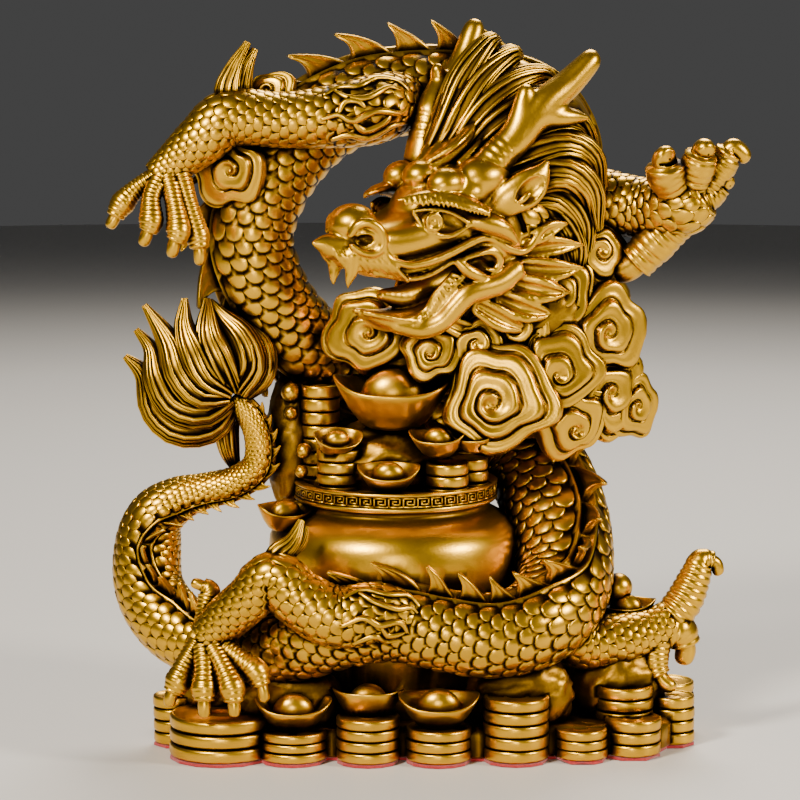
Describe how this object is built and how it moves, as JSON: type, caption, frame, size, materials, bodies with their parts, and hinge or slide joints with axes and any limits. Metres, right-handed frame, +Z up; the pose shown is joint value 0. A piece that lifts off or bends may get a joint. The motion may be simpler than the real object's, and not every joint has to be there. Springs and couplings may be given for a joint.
{
  "type": "dragon sculpture",
  "caption": "Cast brass dragon coiled round a treasure pot heaped with ingots, on a base of coin stacks with a thin felt pad under it.",
  "frame": {"origin": "under the middle of the whole object's bounding box, on the surface it stands on", "axes": "+Z up, -Y out of the front, +X to the right as seen from the front; the dragon's head turns to -X"},
  "size_m": [0.2843, 0.1565, 0.3203],
  "materials": {
    "brass": "antique gold brass, satin on the high parts and dark in the recesses",
    "felt": "red felt"
  },
  "bodies": {
    "root": {"dragon_casting": "brass", "dragon_hind_leg": "brass", "dragon_tail": "brass", "dragon_forepart": "brass", "dragon_head": "brass", "felt_pad": "felt"}
  },
  "joints": []
}
